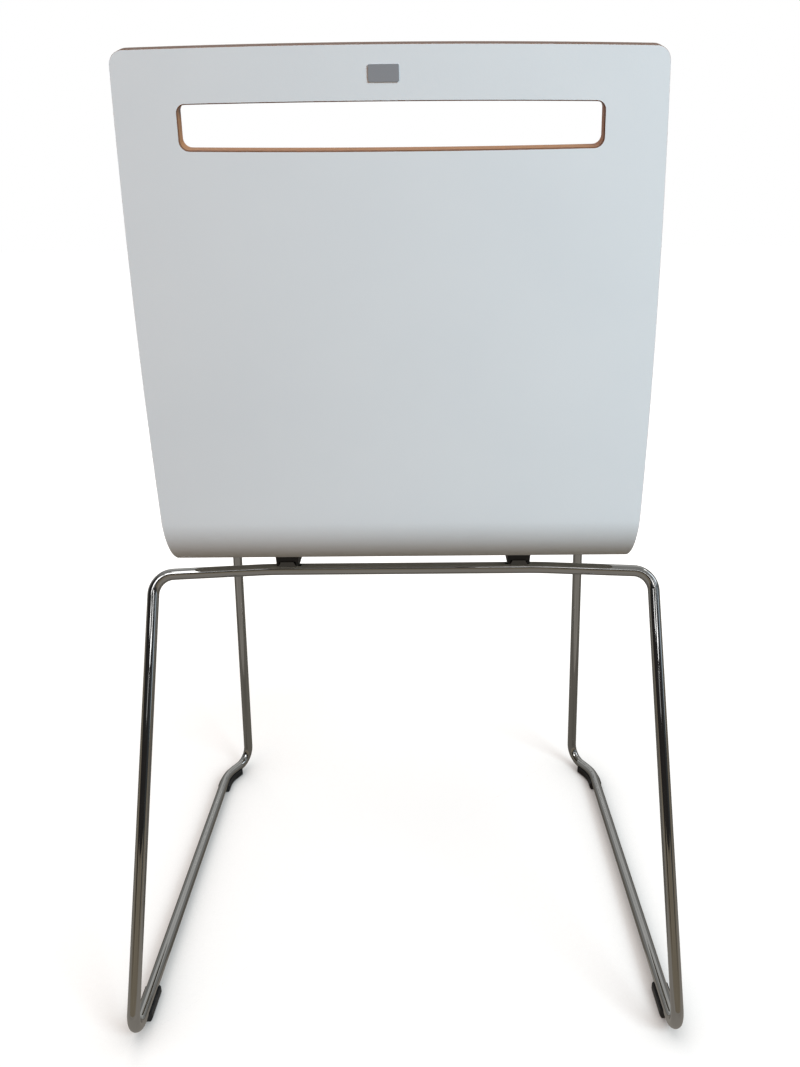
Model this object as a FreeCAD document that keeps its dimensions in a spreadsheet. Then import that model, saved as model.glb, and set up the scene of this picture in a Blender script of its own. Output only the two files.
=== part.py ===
import FreeCAD, Part
import math
import os
import Sketcher
from FreeCAD import Placement, Rotation, Vector

# Sled base chair: a moulded plywood shell carried by a bent chrome rod frame.
# Millimetres. X is the width, with the sitter's left at +X. The sitter faces -Y. Z is up from the floor.

# Driving dimensions
SIZES = {
    # Bent rod frame, measured on the rod's axis
    "rod_diameter": 12,
    "runner_spacing": 519,
    "rear_bar_height": 407,
    "rear_bar_setback": 210,
    "bar_spacing": 270,
    "bar_drop": 5.5,
    "kink_spacing": 278,
    "front_foot_inset": 23.5,
    "front_leg_splay": 6,
    "front_foot_setback": 19,
    "jog_length": 41.5,
    "top_bend": 21,
    "kink_bend": 600,
    "heel_bend": 16,
    "toe_bend": 22,
    "jog_bend": 52,
    # Moulded shell, measured on its underside and rear face
    "laminate_thickness": 0.9,
    "core_thickness": 10.2,
    "mount_height": 15,
    "seat_tilt": 3.5,
    "seat_overhang": 14,
    "shell_width": 445,
    "seat_front_width": 436,
    "seat_corner_radius": 45,
    "waterfall_radius": 48,
    "waterfall_angle": 34,
    "bend_start": 1,
    "bend_radius": 69,
    "back_lean": 12,
    "back_top_lean": 17,
    "back_length": 388,
    "back_top_width": 385,
    "back_side_bow": 3.8,
    "back_top_bow": 2.4,
    "back_corner_radius": 11,
    "trim_allowance": 6,
    # Handle slot in the back
    "slot_width": 307,
    "slot_top_width": 302.6,
    "slot_height": 32.2,
    "slot_margin": 35.7,
    "slot_bow": 1.2,
    "slot_corner_radius": 6,
    # Blank plate above the slot
    "plate_width": 21.6,
    "plate_height": 11,
    "plate_thickness": 0.6,
    "plate_corner_radius": 1,
    "plate_drop": 18,
    "plate_offset": 4.5,
    # Welded tabs and moulded spacers between the frame and the shell
    "mount_spacing": 239,
    "tab_width": 13,
    "tab_thickness": 5,
    "tab_heel": 4,
    "tab_length": 28,
    "tab_sink": 1.2,
    "tab_end_bow": 4.5,
    "weld_leg": 3,
    "weld_depth": 1.8,
    "spacer_top_width": 24,
    "spacer_bottom_width": 21.6,
    "spacer_channel_width": 17.4,
    "spacer_heel": 3,
    "spacer_length": 42,
    "spacer_skirt": 5,
    "rod_clearance": 0.15,
    # Screws and tee nuts that hold the shell
    "screw_offset": 20,
    "screw_diameter": 6,
    "screw_reach": 8,
    "screw_head_diameter": 10.5,
    "screw_head_height": 3.2,
    "screw_crown_diameter": 6.4,
    "screw_crown_radius": 4,
    "screw_socket": 4,
    "screw_socket_depth": 2,
    "hole_clearance": 0.3,
    "thread_clearance": 0.05,
    "nut_diameter": 8,
    "nut_flange_diameter": 18,
    "nut_flange_thickness": 1.2,
    # Plastic glides under the runners
    "glide_sole": 5,
    "glide_width": 16,
    "glide_sole_width": 13,
    "glide_flare": 2.5,
    "glide_side": 9,
    "glide_end_chamfer": 1.9,
    "rear_glide_setback": 7,
    "rear_glide_length": 36,
    "front_glide_tail": 9.5,
    "front_glide_toe": 12,
    "peg_diameter": 4,
    "peg_height": 4,
    "peg_clearance": 0.15,
}

doc = FreeCAD.newDocument("sled_base_chair")
sheet = doc.addObject("Spreadsheet::Sheet", "Sizes")
for row, (alias, number) in enumerate(SIZES.items(), 1):
    sheet.set(f"A{row}", alias)
    sheet.set(f"B{row}", str(number))
    sheet.setAlias(f"B{row}", alias)
doc.recompute()


def size(alias):
    """Value of one driving dimension."""
    return float(sheet.get(alias))


# Shared expressions
SHELL_THICKNESS = "(2 * Sizes.laminate_thickness + Sizes.core_thickness)"
ROD_RADIUS = "(Sizes.rod_diameter / 2)"
BACK_CURL = "(Sizes.back_top_lean - Sizes.back_lean)"
PLATE_FLOOR = "(Sizes.mount_height + Sizes.tab_sink)"
SPACER_SLAB = f"({PLATE_FLOOR} - Sizes.tab_thickness)"
SCREW_HOLE = "(Sizes.screw_diameter / 2 + Sizes.hole_clearance)"
AXIS_HEIGHT = f"(Sizes.glide_sole + {ROD_RADIUS})"
JOG_TURN = "atan(Sizes.front_foot_inset / Sizes.jog_length)"


def value(expression):
    """Number that an expression of the sheet's cells gives."""
    result = sheet.evalExpression(expression)
    return float(getattr(result, "Value", result))


# Helpers for sketches and features
def new_body(label, placement=Placement()):
    body = doc.addObject("PartDesign::Body", label)
    body.Label = label
    body.Placement = placement
    return body


def sketch_on(body, plane, name, lift=None):
    """Sketch on one of the body's origin planes, lifted along that plane's normal."""
    sketch = body.newObject("Sketcher::SketchObject", name)
    base = next(f for f in body.Origin.OriginFeatures if f.Role == plane)
    sketch.AttachmentSupport = [(base, "")]
    sketch.MapMode = "FlatFace"
    if lift:
        sketch.setExpression("AttachmentOffset.Base.z", lift)
    return sketch


def bind(sketch, expression, kind, *elements):
    """Dimension sketch elements with an expression of the sheet."""
    number = value(expression)
    if kind == "Angle":
        number = math.radians(number)
        expression = f"({expression}) * 1 deg"
    index = sketch.addConstraint(Sketcher.Constraint(kind, *elements, number))
    sketch.setExpression(f"Constraints[{index}]", expression)


def arc_between(start, end, radius):
    """Arc from start to end, to the right of the way there for a positive radius, and its end numbers."""
    chord = end - start
    side = Vector(-chord.y, chord.x, 0).normalize() * math.copysign(1, radius)
    rise = math.sqrt(radius ** 2 - (chord.Length / 2) ** 2)
    centre = (start + end) / 2 + side * rise
    first, last = (start, end) if radius > 0 else (end, start)
    begin = math.atan2(first.y - centre.y, first.x - centre.x)
    finish = math.atan2(last.y - centre.y, last.x - centre.x)
    circle = Part.Circle(centre, Vector(0, 0, 1), abs(radius))
    ends = (1, 2) if radius > 0 else (2, 1)
    return Part.ArcOfCircle(circle, begin, finish), ends


def outline(sketch, corners):
    """Closed loop, anticlockwise. Each corner is an x and a y expression, with a radius for the edge that
    follows it where that edge is an arc: positive where it bows outwards, negative where it bows inwards."""
    spots = [Vector(value(corner[0]), value(corner[1]), 0) for corner in corners]
    edges = []
    for index, corner in enumerate(corners):
        start = spots[index]
        end = spots[(index + 1) % len(spots)]
        if len(corner) > 2:
            shape, ends = arc_between(start, end, value(corner[2]))
        else:
            shape, ends = Part.LineSegment(start, end), (1, 2)
        edges.append((sketch.addGeometry(shape), ends))
    for index, (edge, ends) in enumerate(edges):
        last_edge, last_ends = edges[index - 1]
        sketch.addConstraint(Sketcher.Constraint("Coincident", last_edge, last_ends[1], edge, ends[0]))
        bind(sketch, corners[index][0], "DistanceX", -1, 1, edge, ends[0])
        bind(sketch, corners[index][1], "DistanceY", -1, 1, edge, ends[0])
        if len(corners[index]) > 2:
            bind(sketch, f"abs({corners[index][2]})", "Radius", edge)


def circle(sketch, x, y, radius):
    spot = Vector(value(x), value(y), 0)
    edge = sketch.addGeometry(Part.Circle(spot, Vector(0, 0, 1), value(radius)))
    bind(sketch, x, "DistanceX", -1, 1, edge, 3)
    bind(sketch, y, "DistanceY", -1, 1, edge, 3)
    bind(sketch, radius, "Radius", edge)


def bow_radius(chord, bow):
    """Expression for the radius of an arc from its chord and its height over the chord."""
    return f"(({chord}) ^ 2 / (8 * ({bow})) + ({bow}) / 2)"


def extrude(body, kind, sketch, length, symmetric=False, backwards=False):
    """Pad or Pocket of a sketch, its length bound to the sheet."""
    feature = body.newObject(f"PartDesign::{kind}", kind)
    feature.Profile = sketch
    feature.setExpression("Length", length)
    feature.SideType = "Symmetric" if symmetric else "One side"
    feature.Reversed = backwards
    doc.recompute()
    return feature


def is_corner(shape, edge, axis):
    """Whether an edge is straight, parallel to an axis and sharp."""
    if edge.Curve.TypeId != "Part::GeomLine" or edge.Curve.Direction.cross(axis).Length > 1e-3:
        return False
    spot = edge.CenterOfMass
    faces = shape.ancestorsOfType(edge, Part.Face)
    first, second = [face.normalAt(*face.Surface.parameter(spot)) for face in faces]
    return first.cross(second).Length > 0.1


def dress_corners(body, kind, amount, axis, wanted=lambda spot: True):
    """Fillet or Chamfer on the sharp edges along an axis whose middle passes a test."""
    base = body.Tip
    names = []
    for number, edge in enumerate(base.Shape.Edges, 1):
        if is_corner(base.Shape, edge, axis) and wanted(edge.CenterOfMass):
            names.append(f"Edge{number}")
    feature = body.newObject(f"PartDesign::{kind}", kind)
    feature.Base = (base, names)
    feature.setExpression("Radius" if kind == "Fillet" else "Size", amount)
    doc.recompute()


def boolean(kind, label, base, tool):
    feature = doc.addObject(f"Part::{kind}", label)
    feature.Base = base
    feature.Tool = tool
    feature.Label = label
    return feature


# Places in the chair's frame, from the driving dimensions
TILT = math.radians(size("seat_tilt"))
seat_turn = Rotation(Vector(1, 0, 0), -size("seat_tilt"))
rearward = seat_turn.multVec(Vector(0, 1, 0))
upward = seat_turn.multVec(Vector(0, 0, 1))
rod_radius = value(ROD_RADIUS)
axis_height = value(AXIS_HEIGHT)
seat_run = size("bar_spacing") / math.cos(TILT) + size("seat_overhang")
SEAT_RUN = "(Sizes.bar_spacing / cos(Sizes.seat_tilt * 1 deg) + Sizes.seat_overhang)"

# The seat's plane lies the mount height above both bars
bar_to_seat = upward * (rod_radius + size("mount_height"))
fall = math.radians(size("waterfall_angle"))
face_radius = size("waterfall_radius") + value(SHELL_THICKNESS)
nose = rearward * (-seat_run - face_radius * math.sin(fall))
nose += upward * (face_radius * math.cos(fall) - size("waterfall_radius")) + bar_to_seat
bend_turn = math.radians(90 - size("back_lean") + size("seat_tilt"))
bend_centre = bar_to_seat + rearward * size("bend_start") + upward * size("bend_radius")
lean = math.radians(size("back_lean"))
curl_radius = size("back_length") / math.radians(value(BACK_CURL))


def back_point(along):
    """Point on the back's rear face that far above the bend, from the rear bar, and the lean there."""
    here = lean + along / curl_radius
    start = bend_centre + Vector(0, math.cos(lean), -math.sin(lean)) * size("bend_radius")
    pivot = start + Vector(0, math.cos(lean), -math.sin(lean)) * curl_radius
    return pivot - Vector(0, math.cos(here), -math.sin(here)) * curl_radius, here


# The rear bar's place puts the origin under the middle of the chair
rear_reach = max(size("rear_bar_setback") + rod_radius, back_point(size("back_length"))[0].y)
rear_bar = Vector(0, (-nose.y - rear_reach) / 2, size("rear_bar_height"))
front_bar = rear_bar + Vector(0, -size("bar_spacing"), size("bar_spacing") * math.tan(TILT))
rear_foot = rear_bar + bar_to_seat
runner_x = size("runner_spacing") / 2
heel_y = rear_bar.y + size("rear_bar_setback")


# Bent rod frame: two mirrored halves that meet in the middle of each bar
def bent_path(points, radii):
    """Straight runs through the points, with each inner point rounded by its bend radius."""
    edges = []
    start = points[0]
    for before, corner, after, radius in zip(points, points[1:], points[2:], radii):
        way_in = (corner - before).normalize()
        way_out = (after - corner).normalize()
        half_turn = way_in.getAngle(way_out) / 2
        reach = radius * math.tan(half_turn)
        first = corner - way_in * reach
        last = corner + way_out * reach
        inward = (way_out - way_in).normalize()
        middle = corner + inward * (radius / math.cos(half_turn) - radius)
        edges.append(Part.LineSegment(start, first).toShape())
        edges.append(Part.Arc(first, middle, last).toShape())
        start = last
    edges.append(Part.LineSegment(start, points[-1]).toShape())
    return Part.Wire(edges)


def heel_corner(leg_top):
    """Where the rear leg's line meets the runner's, so that the bend's rearmost axis lies at the heel."""
    bend = size("heel_bend")
    ahead = heel_y - bend - leg_top.y
    above = leg_top.z - axis_height - bend
    slope = math.atan2(above, ahead) - math.asin(bend / math.hypot(ahead, above))
    return leg_top.y + (leg_top.z - axis_height) / math.tan(slope)


kink_x = size("kink_spacing") / 2
foot_x = runner_x - size("front_foot_inset")
drop = Vector(0, 0, -size("bar_drop"))
rear_corner = rear_bar + drop + Vector(runner_x, 0, 0)
front_corner = front_bar + drop + Vector(foot_x - size("front_leg_splay"), 0, 0)
foot_y = front_bar.y + size("front_foot_setback")
jog_y = foot_y + size("jog_length")
rod_points = [
    rear_bar,
    rear_bar + Vector(kink_x, 0, 0),
    rear_corner,
    Vector(runner_x, heel_corner(rear_corner), axis_height),
    Vector(runner_x, jog_y, axis_height),
    Vector(foot_x, foot_y, axis_height),
    front_corner,
    front_bar + Vector(kink_x, 0, 0),
    front_bar,
]
rod_bends = [size(f"{name}_bend") for name in ("kink", "top", "heel", "jog", "toe", "top", "kink")]

rod_path = doc.addObject("Part::Feature", "rod_path")
rod_path.Shape = bent_path(rod_points, rod_bends)
rod_section = doc.addObject("Part::Circle", "rod_section")
rod_section.setExpression("Radius", ROD_RADIUS)
rod_section.Placement = Placement(rear_bar, Rotation(Vector(0, 0, 1), Vector(1, 0, 0)))
bent_rod = doc.addObject("Part::Sweep", "bent_rod")
bent_rod.Sections = [rod_section]
bent_rod.Spine = (rod_path, [f"Edge{n}" for n in range(1, len(rod_path.Shape.Edges) + 1)])
bent_rod.Solid = True

# Glide places along the runner, and each peg's place from the start of its glide
jog_turn = math.radians(value(f"{JOG_TURN} / 1 deg"))
jog_reach = size("jog_bend") * math.tan(jog_turn / 2)
glide_starts = {
    "rear": heel_y - size("heel_bend") - size("rear_glide_setback"),
    "front": jog_y + jog_reach + size("front_glide_tail"),
}
pegs = {
    "rear": ("0", "-Sizes.rear_glide_length / 2"),
    "front": (f"-Sizes.jog_bend * (1 - cos({JOG_TURN} / 2))",
              f"-(Sizes.front_glide_tail + Sizes.jog_bend * sin({JOG_TURN} / 2))"),
}

drilled_rod = bent_rod
for end, (inward, ahead) in pegs.items():
    drill = doc.addObject("Part::Cylinder", f"{end}_peg_hole")
    drill.setExpression("Radius", "Sizes.peg_diameter / 2 + Sizes.peg_clearance")
    drill.setExpression("Height", "Sizes.peg_height + Sizes.peg_clearance")
    spot = Vector(runner_x + value(inward), glide_starts[end] + value(ahead), size("glide_sole"))
    drill.Placement.Base = spot
    drilled_rod = boolean("Cut", f"rod_with_{end}_hole", drilled_rod, drill)
drilled_rod.Label = "frame_rod_left"
mirrored_rod = doc.addObject("Part::Mirroring", "frame_rod_right")
mirrored_rod.Source = drilled_rod
mirrored_rod.Normal = Vector(1, 0, 0)
mirrored_rod.Label = "frame_rod_right"
parts = [drilled_rod, mirrored_rod]


# Shell line: the underside and rear face in side view, as one tangent run of arcs and a straight seat
def shell_line():
    """Sketch in the seat's frame, its x rearward along the seat and its y square to the seat."""
    sketch = doc.addObject("Sketcher::SketchObject", "shell_line")
    facing = Rotation(Vector(0, 1, 0), Vector(0, 0, 1), Vector(1, 0, 0), "ZXY")
    sketch.Placement = Placement(rear_foot, seat_turn.multiply(facing))
    axis = Vector(0, 0, 1)
    start = Vector(size("bend_start"), 0, 0)
    end = Vector(-seat_run, 0, 0)
    down = -math.pi / 2
    fall_extra = size("trim_allowance") / size("waterfall_radius")
    fall_arc = Part.Circle(end - Vector(0, size("waterfall_radius"), 0), axis, size("waterfall_radius"))
    bend_arc = Part.Circle(start + Vector(0, size("bend_radius"), 0), axis, size("bend_radius"))
    joint = down + bend_turn
    out = Vector(math.cos(joint), math.sin(joint), 0)
    curl_arc = Part.Circle(bend_arc.Center + out * (size("bend_radius") + curl_radius), axis, curl_radius)
    curl = (size("back_length") + size("trim_allowance")) / curl_radius
    nose_arc = sketch.addGeometry(Part.ArcOfCircle(fall_arc, -down, -down + fall + fall_extra))
    seat = sketch.addGeometry(Part.LineSegment(end, start))
    bend = sketch.addGeometry(Part.ArcOfCircle(bend_arc, down, joint))
    back = sketch.addGeometry(Part.ArcOfCircle(curl_arc, joint + math.pi - curl, joint + math.pi))
    for joined in ((nose_arc, 1, seat, 1), (seat, 2, bend, 1), (bend, 2, back, 2)):
        sketch.addConstraint(Sketcher.Constraint("Tangent", *joined))
    sketch.addConstraint(Sketcher.Constraint("Horizontal", seat))
    sketch.addConstraint(Sketcher.Constraint("PointOnObject", seat, 2, -1))
    bind(sketch, "Sizes.bend_start", "DistanceX", -1, 1, seat, 2)
    bind(sketch, SEAT_RUN, "DistanceX", seat, 1, -1, 1)
    bind(sketch, "Sizes.waterfall_radius", "Radius", nose_arc)
    bind(sketch, "Sizes.bend_radius", "Radius", bend)
    bind(sketch, f"Sizes.back_length / {BACK_CURL} * 180 / pi", "Radius", back)
    bind(sketch, "Sizes.waterfall_angle + Sizes.trim_allowance / Sizes.waterfall_radius * 180 / pi",
         "Angle", nose_arc)
    bind(sketch, "90 - Sizes.back_lean + Sizes.seat_tilt", "Angle", bend)
    bind(sketch, f"{BACK_CURL} * (1 + Sizes.trim_allowance / Sizes.back_length)", "Angle", back)
    return sketch


# Outlines that trim the shell's blank
back_start, _ = back_point(0)
back_slope = size("back_lean") + value(BACK_CURL) / 2
back_frame = Placement(rear_bar + back_start, Rotation(Vector(1, 0, 0), -back_slope))
BLANK_DEPTH = "4 * Sizes.bar_spacing"
BACK_SIDE = "(Sizes.back_length - Sizes.back_top_bow)"


def back_outline():
    """Prism of the back seen square on: bowed sides that draw in to a bowed top with round corners."""
    body = new_body("back_outline", back_frame)
    sketch = sketch_on(body, "XZ_Plane", "back_shape")
    side_bow = bow_radius("Sizes.back_length", "Sizes.back_side_bow")
    top_bow = bow_radius("Sizes.back_top_width", "Sizes.back_top_bow")
    outline(sketch, [
        ("-Sizes.shell_width / 2", f"-2 * {SEAT_RUN}"),
        ("Sizes.shell_width / 2", f"-2 * {SEAT_RUN}"),
        ("Sizes.shell_width / 2", "0", side_bow),
        ("Sizes.back_top_width / 2", BACK_SIDE, top_bow),
        ("-Sizes.back_top_width / 2", BACK_SIDE, side_bow),
        ("-Sizes.shell_width / 2", "0"),
    ])
    extrude(body, "Pad", sketch, BLANK_DEPTH, symmetric=True)
    dress_corners(body, "Fillet", "Sizes.back_corner_radius", Vector(0, 1, 0),
                  lambda spot: spot.z > size("back_length") / 2)
    return body


def slot_outline():
    """Prism of the handle slot, narrower at its top, with its long edges bowed a little."""
    body = new_body("slot_outline", back_frame)
    sketch = sketch_on(body, "XZ_Plane", "slot_shape")
    bottom_bow = bow_radius("Sizes.slot_width", "Sizes.slot_bow")
    top_bow = bow_radius("Sizes.slot_top_width", "Sizes.slot_bow")
    top = "(Sizes.back_length - Sizes.slot_margin - Sizes.slot_bow)"
    bottom = "(Sizes.back_length - Sizes.slot_margin - Sizes.slot_height + Sizes.slot_bow)"
    outline(sketch, [
        ("-Sizes.slot_width / 2", bottom, bottom_bow),
        ("Sizes.slot_width / 2", bottom),
        ("Sizes.slot_top_width / 2", top, top_bow),
        ("-Sizes.slot_top_width / 2", top),
    ])
    extrude(body, "Pad", sketch, "Sizes.bend_radius", symmetric=True)
    dress_corners(body, "Fillet", "Sizes.slot_corner_radius", Vector(0, 1, 0))
    return body


def seat_outline():
    """Prism of the seat, square to the turned-down front edge, with round front corners."""
    drop_angle = size("waterfall_angle") - size("seat_tilt")
    lip = rear_foot + rearward * (-seat_run - size("waterfall_radius") * math.sin(fall))
    lip += upward * (size("waterfall_radius") * (math.cos(fall) - 1))
    body = new_body("seat_outline", Placement(lip, Rotation(Vector(1, 0, 0), drop_angle)))
    sketch = sketch_on(body, "XY_Plane", "seat_shape")
    outline(sketch, [
        ("-Sizes.seat_front_width / 2", "0"),
        ("Sizes.seat_front_width / 2", "0"),
        ("Sizes.shell_width / 2", SEAT_RUN),
        ("Sizes.shell_width / 2", f"{SEAT_RUN} + 2 * Sizes.back_length"),
        ("-Sizes.shell_width / 2", f"{SEAT_RUN} + 2 * Sizes.back_length"),
        ("-Sizes.shell_width / 2", SEAT_RUN),
    ])
    extrude(body, "Pad", sketch, BLANK_DEPTH, symmetric=True)
    dress_corners(body, "Fillet", "Sizes.seat_corner_radius", Vector(0, 0, 1),
                  lambda spot: spot.y < seat_run / 2)
    return body


# Mounts: a tab welded on the bar, a moulded spacer, a screw and a tee nut at each of four places
def mount_frame(bar, side, turn):
    """Frame on the shell's underside over a bar: y runs from the bar to the screw, z is up."""
    foot = bar + bar_to_seat + Vector(side * size("mount_spacing") / 2, 0, 0)
    return Placement(foot, seat_turn.multiply(Rotation(Vector(0, 0, 1), turn)))


mounts = {}
for end, bar, turn in (("rear", rear_bar, 180), ("front", front_bar, 0)):
    for side_name, side in (("left", 1), ("right", -1)):
        mounts[f"{end}_{side_name}"] = mount_frame(bar, side, turn)

BAR_DEPTH = f"-(Sizes.mount_height + {ROD_RADIUS})"


def mount_tab(place, frame):
    """Flat steel tab with a round end and a flared weld, cut to sit on the bar."""
    body = new_body(f"mount_tab_{place}", frame)
    plate = sketch_on(body, "XY_Plane", "plate", f"-{PLATE_FLOOR}")
    half = "Sizes.tab_width / 2"
    outline(plate, [
        (f"-{half}", "-Sizes.tab_heel"),
        (half, "-Sizes.tab_heel"),
        (half, "Sizes.tab_length", bow_radius("Sizes.tab_width", "Sizes.tab_end_bow")),
        (f"-{half}", "Sizes.tab_length"),
    ])
    circle(plate, "0", "Sizes.screw_offset", SCREW_HOLE)
    extrude(body, "Pad", plate, "Sizes.tab_thickness")
    weld = sketch_on(body, "XZ_Plane", "weld")
    toe = f"({half} + Sizes.weld_leg)"
    outline(weld, [
        (f"-{toe}", "-(Sizes.mount_height + Sizes.weld_depth)"),
        (toe, "-(Sizes.mount_height + Sizes.weld_depth)"),
        (half, f"-{SPACER_SLAB}"),
        (f"-{half}", f"-{SPACER_SLAB}"),
    ])
    extrude(body, "Pad", weld, "2 * Sizes.tab_heel", symmetric=True)
    saddle = sketch_on(body, "YZ_Plane", "saddle")
    circle(saddle, "0", BAR_DEPTH, ROD_RADIUS)
    extrude(body, "Pocket", saddle, "4 * Sizes.tab_width", symmetric=True)
    return body


def mount_spacer(place, frame):
    """Moulded block, an upturned channel with drafted sides that straddles the tab and sits on the bar."""
    body = new_body(f"mount_spacer_{place}", frame)
    block = sketch_on(body, "XZ_Plane", "block", "Sizes.spacer_heel")
    foot = "-(Sizes.mount_height + Sizes.spacer_skirt)"
    outline(block, [
        ("-Sizes.spacer_bottom_width / 2", foot),
        ("Sizes.spacer_bottom_width / 2", foot),
        ("Sizes.spacer_top_width / 2", "0"),
        ("-Sizes.spacer_top_width / 2", "0"),
    ])
    extrude(body, "Pad", block, "Sizes.spacer_length", backwards=True)
    channel = sketch_on(body, "XZ_Plane", "channel")
    half = "Sizes.spacer_channel_width / 2"
    outline(channel, [
        (f"-{half}", f"2 * {foot}"),
        (half, f"2 * {foot}"),
        (half, f"-{SPACER_SLAB}"),
        (f"-{half}", f"-{SPACER_SLAB}"),
    ])
    extrude(body, "Pocket", channel, "4 * Sizes.spacer_length", symmetric=True)
    saddle = sketch_on(body, "YZ_Plane", "saddle")
    circle(saddle, "0", BAR_DEPTH, f"{ROD_RADIUS} + Sizes.rod_clearance")
    extrude(body, "Pocket", saddle, "4 * Sizes.spacer_top_width", symmetric=True)
    bore = sketch_on(body, "XY_Plane", "bore")
    circle(bore, "0", "Sizes.screw_offset", SCREW_HOLE)
    extrude(body, "Pocket", bore, "2 * Sizes.mount_height")
    return body


def turned(body, name, corners):
    """Revolution of a half profile about the screw's axis."""
    sketch = sketch_on(body, "XZ_Plane", name)
    outline(sketch, corners)
    feature = body.newObject("PartDesign::Revolution", "Revolution")
    feature.Profile = sketch
    feature.ReferenceAxis = (sketch, ["V_Axis"])
    feature.Angle = 360
    doc.recompute()
    return feature


def screw_frame(frame):
    return frame.multiply(Placement(Vector(0, size("screw_offset"), 0), Rotation()))


def mount_screw(place, frame):
    """Button head screw from below, its head under the tab and its thread in the tee nut."""
    body = new_body(f"mount_screw_{place}", screw_frame(frame))
    seat = f"-{PLATE_FLOOR}"
    bottom = f"-({PLATE_FLOOR} + Sizes.screw_head_height)"
    turned(body, "half_screw", [
        ("0", bottom),
        ("Sizes.screw_crown_diameter / 2", bottom, "Sizes.screw_crown_radius"),
        ("Sizes.screw_head_diameter / 2", seat),
        ("Sizes.screw_diameter / 2", seat),
        ("Sizes.screw_diameter / 2", "Sizes.screw_reach"),
        ("0", "Sizes.screw_reach"),
    ])
    socket = sketch_on(body, "XY_Plane", "socket", bottom)
    flat = "Sizes.screw_socket / 2"
    point = f"({flat} / cos(30 deg))"
    outline(socket, [
        (flat, f"-{point} / 2"),
        (flat, f"{point} / 2"),
        ("0", point),
        (f"-{flat}", f"{point} / 2"),
        (f"-{flat}", f"-{point} / 2"),
        ("0", f"-{point}"),
    ])
    extrude(body, "Pocket", socket, "Sizes.screw_socket_depth", backwards=True)
    return body


def tee_nut(place, frame):
    """Flanged nut in the core, its flange under the seat's face laminate."""
    body = new_body(f"tee_nut_{place}", screw_frame(frame))
    bore = "(Sizes.screw_diameter / 2 + Sizes.thread_clearance)"
    core_top = "(Sizes.laminate_thickness + Sizes.core_thickness)"
    turned(body, "half_nut", [
        (bore, "0"),
        ("Sizes.nut_diameter / 2", "0"),
        ("Sizes.nut_diameter / 2", f"{core_top} - Sizes.nut_flange_thickness"),
        ("Sizes.nut_flange_diameter / 2", f"{core_top} - Sizes.nut_flange_thickness"),
        ("Sizes.nut_flange_diameter / 2", core_top),
        (bore, core_top),
    ])
    return body


def nut_bore(place, frame):
    """Space that a tee nut and its screw take in the shell."""
    body = new_body(f"nut_bore_{place}", screw_frame(frame))
    core_top = "(Sizes.laminate_thickness + Sizes.core_thickness)"
    turned(body, "half_bore", [
        ("0", "-Sizes.mount_height"),
        ("Sizes.nut_diameter / 2", "-Sizes.mount_height"),
        ("Sizes.nut_diameter / 2", f"{core_top} - Sizes.nut_flange_thickness"),
        ("Sizes.nut_flange_diameter / 2", f"{core_top} - Sizes.nut_flange_thickness"),
        ("Sizes.nut_flange_diameter / 2", core_top),
        ("0", core_top),
    ])
    return body


bores = []
for place, frame in mounts.items():
    parts.append(mount_tab(place, frame))
    parts.append(mount_spacer(place, frame))
    parts.append(mount_screw(place, frame))
    parts.append(tee_nut(place, frame))
    bores.append(nut_bore(place, frame))
all_bores = doc.addObject("Part::MultiFuse", "all_bores")
all_bores.Shapes = bores

# Shell: a plywood core between two laminates, all trimmed by the same outlines
shell_trim = boolean("Common", "shell_trim", back_outline(), seat_outline())
shell_trim = boolean("Cut", "slotted_trim", shell_trim, slot_outline())
face_line = shell_line()


def shell_layer(label, inset, thickness):
    """Layer that starts that far inside the shell line, cut to the shell's outline."""
    line = face_line
    if inset:
        line = doc.addObject("Part::Offset2D", f"{label}_line")
        line.Source = face_line
        line.Mode = "Skin"
        line.setExpression("Value", inset)
    band = doc.addObject("Part::Offset2D", f"{label}_band")
    band.Source = line
    band.Mode = "Skin"
    band.Fill = True
    band.setExpression("Value", thickness)
    blank = doc.addObject("Part::Extrusion", f"{label}_blank")
    blank.Base = band
    blank.DirMode = "Custom"
    blank.Dir = Vector(1, 0, 0)
    blank.Symmetric = True
    blank.Solid = True
    blank.setExpression("LengthFwd", "2 * Sizes.shell_width")
    return boolean("Common", f"{label}_trimmed", blank, shell_trim)


outer = shell_layer("outer_laminate", None, "Sizes.laminate_thickness")
core = shell_layer("shell_core", "Sizes.laminate_thickness", "Sizes.core_thickness")
inner = shell_layer("inner_laminate", "Sizes.laminate_thickness + Sizes.core_thickness",
                    "Sizes.laminate_thickness")
inner.Label = "inner_laminate"
parts.append(inner)
parts.append(boolean("Cut", "outer_laminate", outer, all_bores))
parts.append(boolean("Cut", "shell_core", core, all_bores))


def blank_plate():
    """Plain plate on the rear face above the slot."""
    spot, here = back_point(size("back_length") - size("plate_drop"))
    spot += rear_bar + Vector(size("plate_offset"), 0, 0)
    body = new_body("blank_plate", Placement(spot, Rotation(Vector(1, 0, 0), -math.degrees(here))))
    sketch = sketch_on(body, "XZ_Plane", "plate_shape")
    outline(sketch, [
        ("-Sizes.plate_width / 2", "-Sizes.plate_height / 2"),
        ("Sizes.plate_width / 2", "-Sizes.plate_height / 2"),
        ("Sizes.plate_width / 2", "Sizes.plate_height / 2"),
        ("-Sizes.plate_width / 2", "Sizes.plate_height / 2"),
    ])
    extrude(body, "Pad", sketch, "Sizes.plate_thickness", backwards=True)
    dress_corners(body, "Fillet", "Sizes.plate_corner_radius", Vector(0, 1, 0))
    return body


parts.append(blank_plate())


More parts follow.
